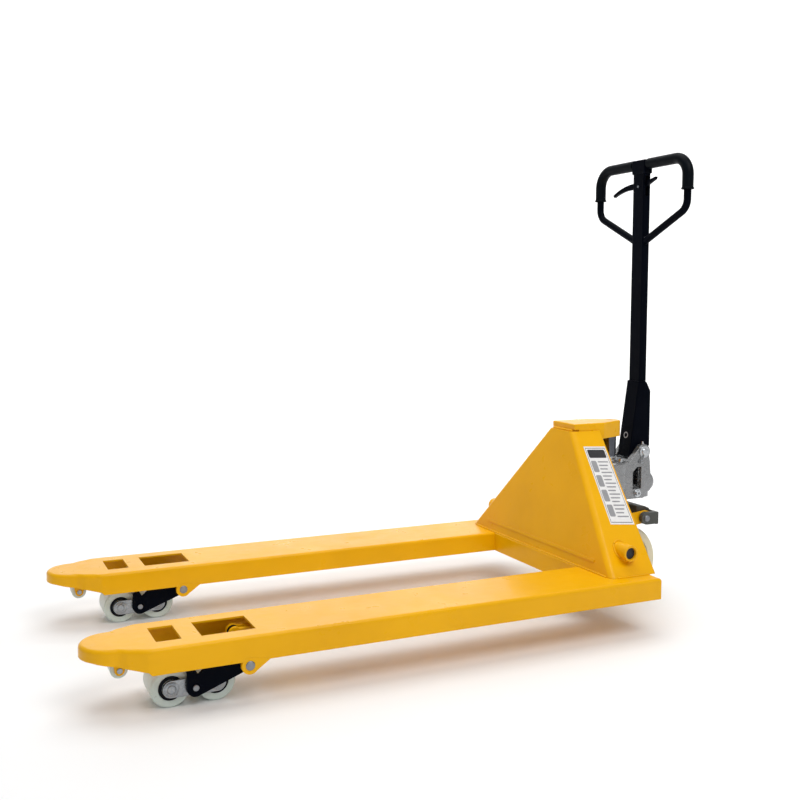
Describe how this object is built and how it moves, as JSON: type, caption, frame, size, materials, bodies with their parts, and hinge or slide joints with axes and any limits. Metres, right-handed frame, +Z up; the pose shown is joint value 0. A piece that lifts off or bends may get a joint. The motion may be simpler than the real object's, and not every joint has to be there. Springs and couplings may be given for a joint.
{
  "type": "pallet jack",
  "caption": "Hand pallet jack: two forks on tandem load rollers, a leaning bulkhead, a steered hydraulic pump with nylon wheels, and a tilting tiller with a loop handle.",
  "frame": {"origin": "on the floor, under the middle of the truck's overall box", "axes": "+X from the fork tips to the operator, +Y across the forks to the operator's right, +Z up"},
  "size_m": [1.496, 0.688, 1.1095],
  "materials": {
    "yellow_paint": "satin powder coat",
    "black_paint": "satin powder coat",
    "dark_casting": "painted casting",
    "pump_casting": "silver painted casting",
    "chrome_rod": "ground and plated",
    "zinc_steel": "bright zinc plate",
    "dark_shaft": "blackened steel",
    "nylon": "moulded nylon",
    "bearing_steel": "oiled bearing steel",
    "grip_rubber": "smooth moulded rubber",
    "decal_film": "printed film"
  },
  "bodies": {
    "fork_frame": {"fork_left": "yellow_paint", "fork_right": "yellow_paint", "crossbeam": "yellow_paint", "bulkhead": "yellow_paint", "head_cap": "yellow_paint", "rocker_bosses": "yellow_paint", "rocker_shaft": "dark_shaft", "lift_ram": "chrome_rod", "ram_head": "zinc_steel", "load_pivot_pins": "zinc_steel", "fork_lugs": "yellow_paint", "entry_brackets": "yellow_paint", "entry_axles": "zinc_steel", "bottom_ties": "yellow_paint", "safety_decals": "decal_film"},
    "carriage": {"crown_bracket": "dark_casting", "bracket_pins": "zinc_steel", "thrust_bearing": "zinc_steel"},
    "pump_unit": {"pump_body": "pump_casting", "gland_nut": "zinc_steel", "pump_fittings": "zinc_steel", "cover_bolts": "zinc_steel", "wheel_axle": "dark_shaft", "axle_nuts": "zinc_steel", "handle_shaft": "zinc_steel", "split_pins": "zinc_steel"},
    "pump_plunger": {"plunger": "chrome_rod", "plunger_spring": "black_paint"},
    "valve_lever": {"release_lever": "pump_casting"},
    "tiller": {"handle_base": "black_paint", "handle_tube": "black_paint", "handle_loop": "black_paint", "grip_left": "grip_rubber", "grip_right": "grip_rubber", "loop_bridge": "black_paint", "tiller_pins": "zinc_steel"},
    "tiller_roller": {"pressure_roller": "zinc_steel"},
    "finger_lever": {"control_lever": "black_paint"},
    "release_rod": {"pull_rod": "zinc_steel"},
    "rocker_body": {"rocker": "yellow_paint"},
    "steer_wheel_left": {"steer_tyre_left": "nylon", "steer_hub_left": "bearing_steel"},
    "rod_left": {"push_rod_left": "yellow_paint"},
    "load_arm_left": {"load_frame_left": "black_paint", "bogie_pins_left": "zinc_steel"},
    "bogie_left": {"bogie_links_left": "zinc_steel", "load_axles_left": "zinc_steel"},
    "load_wheel_front_left": {"load_roller_front_left": "nylon"},
    "load_wheel_rear_left": {"load_roller_rear_left": "nylon"},
    "entry_wheel_left": {"entry_roller_left": "nylon"},
    "steer_wheel_right": {"steer_tyre_right": "nylon", "steer_hub_right": "bearing_steel"},
    "rod_right": {"push_rod_right": "yellow_paint"},
    "load_arm_right": {"load_frame_right": "black_paint", "bogie_pins_right": "zinc_steel"},
    "bogie_right": {"bogie_links_right": "zinc_steel", "load_axles_right": "zinc_steel"},
    "load_wheel_front_right": {"load_roller_front_right": "nylon"},
    "load_wheel_rear_right": {"load_roller_rear_right": "nylon"},
    "entry_wheel_right": {"entry_roller_right": "nylon"}
  },
  "joints": [
    {"name": "lift", "type": "slide", "parent": "fork_frame", "child": "carriage", "axis": [0, 0, -1], "range_m": [-0.044, 0.056]},
    {"name": "steering", "type": "hinge", "parent": "carriage", "child": "pump_unit", "pos_m": [0.6155, 0, 0.2], "axis": [0, 0, 1], "range_deg": [-90, 90]},
    {"name": "tiller_tilt", "type": "hinge", "parent": "pump_unit", "child": "tiller", "pos_m": [0.6955, 0, 0.36], "axis": [0, 1, 0], "range_deg": [0, 85], "stiffness_Nm_per_rad": 8, "springref_deg": -68.75},
    {"name": "plunger_stroke", "type": "slide", "parent": "pump_unit", "child": "pump_plunger", "axis": [0, 0, -1], "range_m": [0, 0.0252], "deforming": ["plunger_spring"]},
    {"name": "roller_spin", "type": "hinge", "parent": "tiller", "child": "tiller_roller", "pos_m": [0.70925, 0, 0.37238], "axis": [0, 1, 0], "continuous": true},
    {"name": "finger_lever_tilt", "type": "hinge", "parent": "tiller", "child": "finger_lever", "pos_m": [0.7025, 0, 1.04], "axis": [1, 0, 0], "range_deg": [-15, 15], "stiffness_Nm_per_rad": 0.4},
    {"name": "release_rod_slide", "type": "slide", "parent": "tiller", "child": "release_rod", "axis": [0, 0, 1], "range_m": [-0.0035, 0.0035]},
    {"name": "valve_lever_tilt", "type": "hinge", "parent": "pump_unit", "child": "valve_lever", "pos_m": [0.708, 0.0445, 0.258], "axis": [0, 1, 0], "range_deg": [-14, 14]},
    {"name": "rocker_tilt", "type": "hinge", "parent": "fork_frame", "child": "rocker_body", "pos_m": [0.4535, 0, 0.178], "axis": [0, 1, 0], "range_deg": [-12.7, 16.1]},
    {"name": "steer_wheel_spin_left", "type": "hinge", "parent": "pump_unit", "child": "steer_wheel_left", "pos_m": [0.6155, -0.053, 0.09], "axis": [0, 1, 0], "continuous": true},
    {"name": "rod_level_left", "type": "hinge", "parent": "rocker_body", "child": "rod_left", "pos_m": [0.4535, -0.232, 0.103], "axis": [0, 1, 0], "range_deg": [-16.1, 12.7]},
    {"name": "load_arm_tilt_left", "type": "hinge", "parent": "fork_frame", "child": "load_arm_left", "pos_m": [-0.4525, -0.2625, 0.0735], "axis": [0, 1, 0], "range_deg": [-37.5, 29.5]},
    {"name": "bogie_level_left", "type": "hinge", "parent": "load_arm_left", "child": "bogie_left", "pos_m": [-0.5475, -0.2625, 0.037], "axis": [0, 1, 0], "range_deg": [-29.5, 37.5]},
    {"name": "load_wheel_spin_front_left", "type": "hinge", "parent": "bogie_left", "child": "load_wheel_front_left", "pos_m": [-0.5905, -0.2625, 0.037], "axis": [0, 1, 0], "continuous": true},
    {"name": "load_wheel_spin_rear_left", "type": "hinge", "parent": "bogie_left", "child": "load_wheel_rear_left", "pos_m": [-0.5045, -0.2625, 0.037], "axis": [0, 1, 0], "continuous": true},
    {"name": "entry_wheel_spin_left", "type": "hinge", "parent": "fork_frame", "child": "entry_wheel_left", "pos_m": [-0.6795, -0.2625, 0.079], "axis": [0, 1, 0], "continuous": true},
    {"name": "steer_wheel_spin_right", "type": "hinge", "parent": "pump_unit", "child": "steer_wheel_right", "pos_m": [0.6155, 0.053, 0.09], "axis": [0, 1, 0], "continuous": true},
    {"name": "rod_level_right", "type": "hinge", "parent": "rocker_body", "child": "rod_right", "pos_m": [0.4535, 0.232, 0.103], "axis": [0, 1, 0], "range_deg": [-16.1, 12.7]},
    {"name": "load_arm_tilt_right", "type": "hinge", "parent": "fork_frame", "child": "load_arm_right", "pos_m": [-0.4525, 0.2625, 0.0735], "axis": [0, 1, 0], "range_deg": [-37.5, 29.5]},
    {"name": "bogie_level_right", "type": "hinge", "parent": "load_arm_right", "child": "bogie_right", "pos_m": [-0.5475, 0.2625, 0.037], "axis": [0, 1, 0], "range_deg": [-29.5, 37.5]},
    {"name": "load_wheel_spin_front_right", "type": "hinge", "parent": "bogie_right", "child": "load_wheel_front_right", "pos_m": [-0.5905, 0.2625, 0.037], "axis": [0, 1, 0], "continuous": true},
    {"name": "load_wheel_spin_rear_right", "type": "hinge", "parent": "bogie_right", "child": "load_wheel_rear_right", "pos_m": [-0.5045, 0.2625, 0.037], "axis": [0, 1, 0], "continuous": true},
    {"name": "entry_wheel_spin_right", "type": "hinge", "parent": "fork_frame", "child": "entry_wheel_right", "pos_m": [-0.6795, 0.2625, 0.079], "axis": [0, 1, 0], "continuous": true}
  ],
  "couplings": [
    {"joint": "plunger_stroke", "follows": "tiller_tilt", "m_per_rad": 0.016852},
    {"joint": "release_rod_slide", "follows": "finger_lever_tilt", "m_per_rad": 0.012},
    {"joint": "valve_lever_tilt", "follows": "finger_lever_tilt", "ratio": 0.9},
    {"joint": "rocker_tilt", "follows": "lift", "rad_per_m": 4.9567},
    {"joint": "rod_level_left", "follows": "lift", "rad_per_m": -4.9567},
    {"joint": "load_arm_tilt_left", "follows": "lift", "rad_per_m": -11.606},
    {"joint": "bogie_level_left", "follows": "lift", "rad_per_m": 11.606},
    {"joint": "rod_level_right", "follows": "lift", "rad_per_m": -4.9567},
    {"joint": "load_arm_tilt_right", "follows": "lift", "rad_per_m": -11.606},
    {"joint": "bogie_level_right", "follows": "lift", "rad_per_m": 11.606}
  ]
}
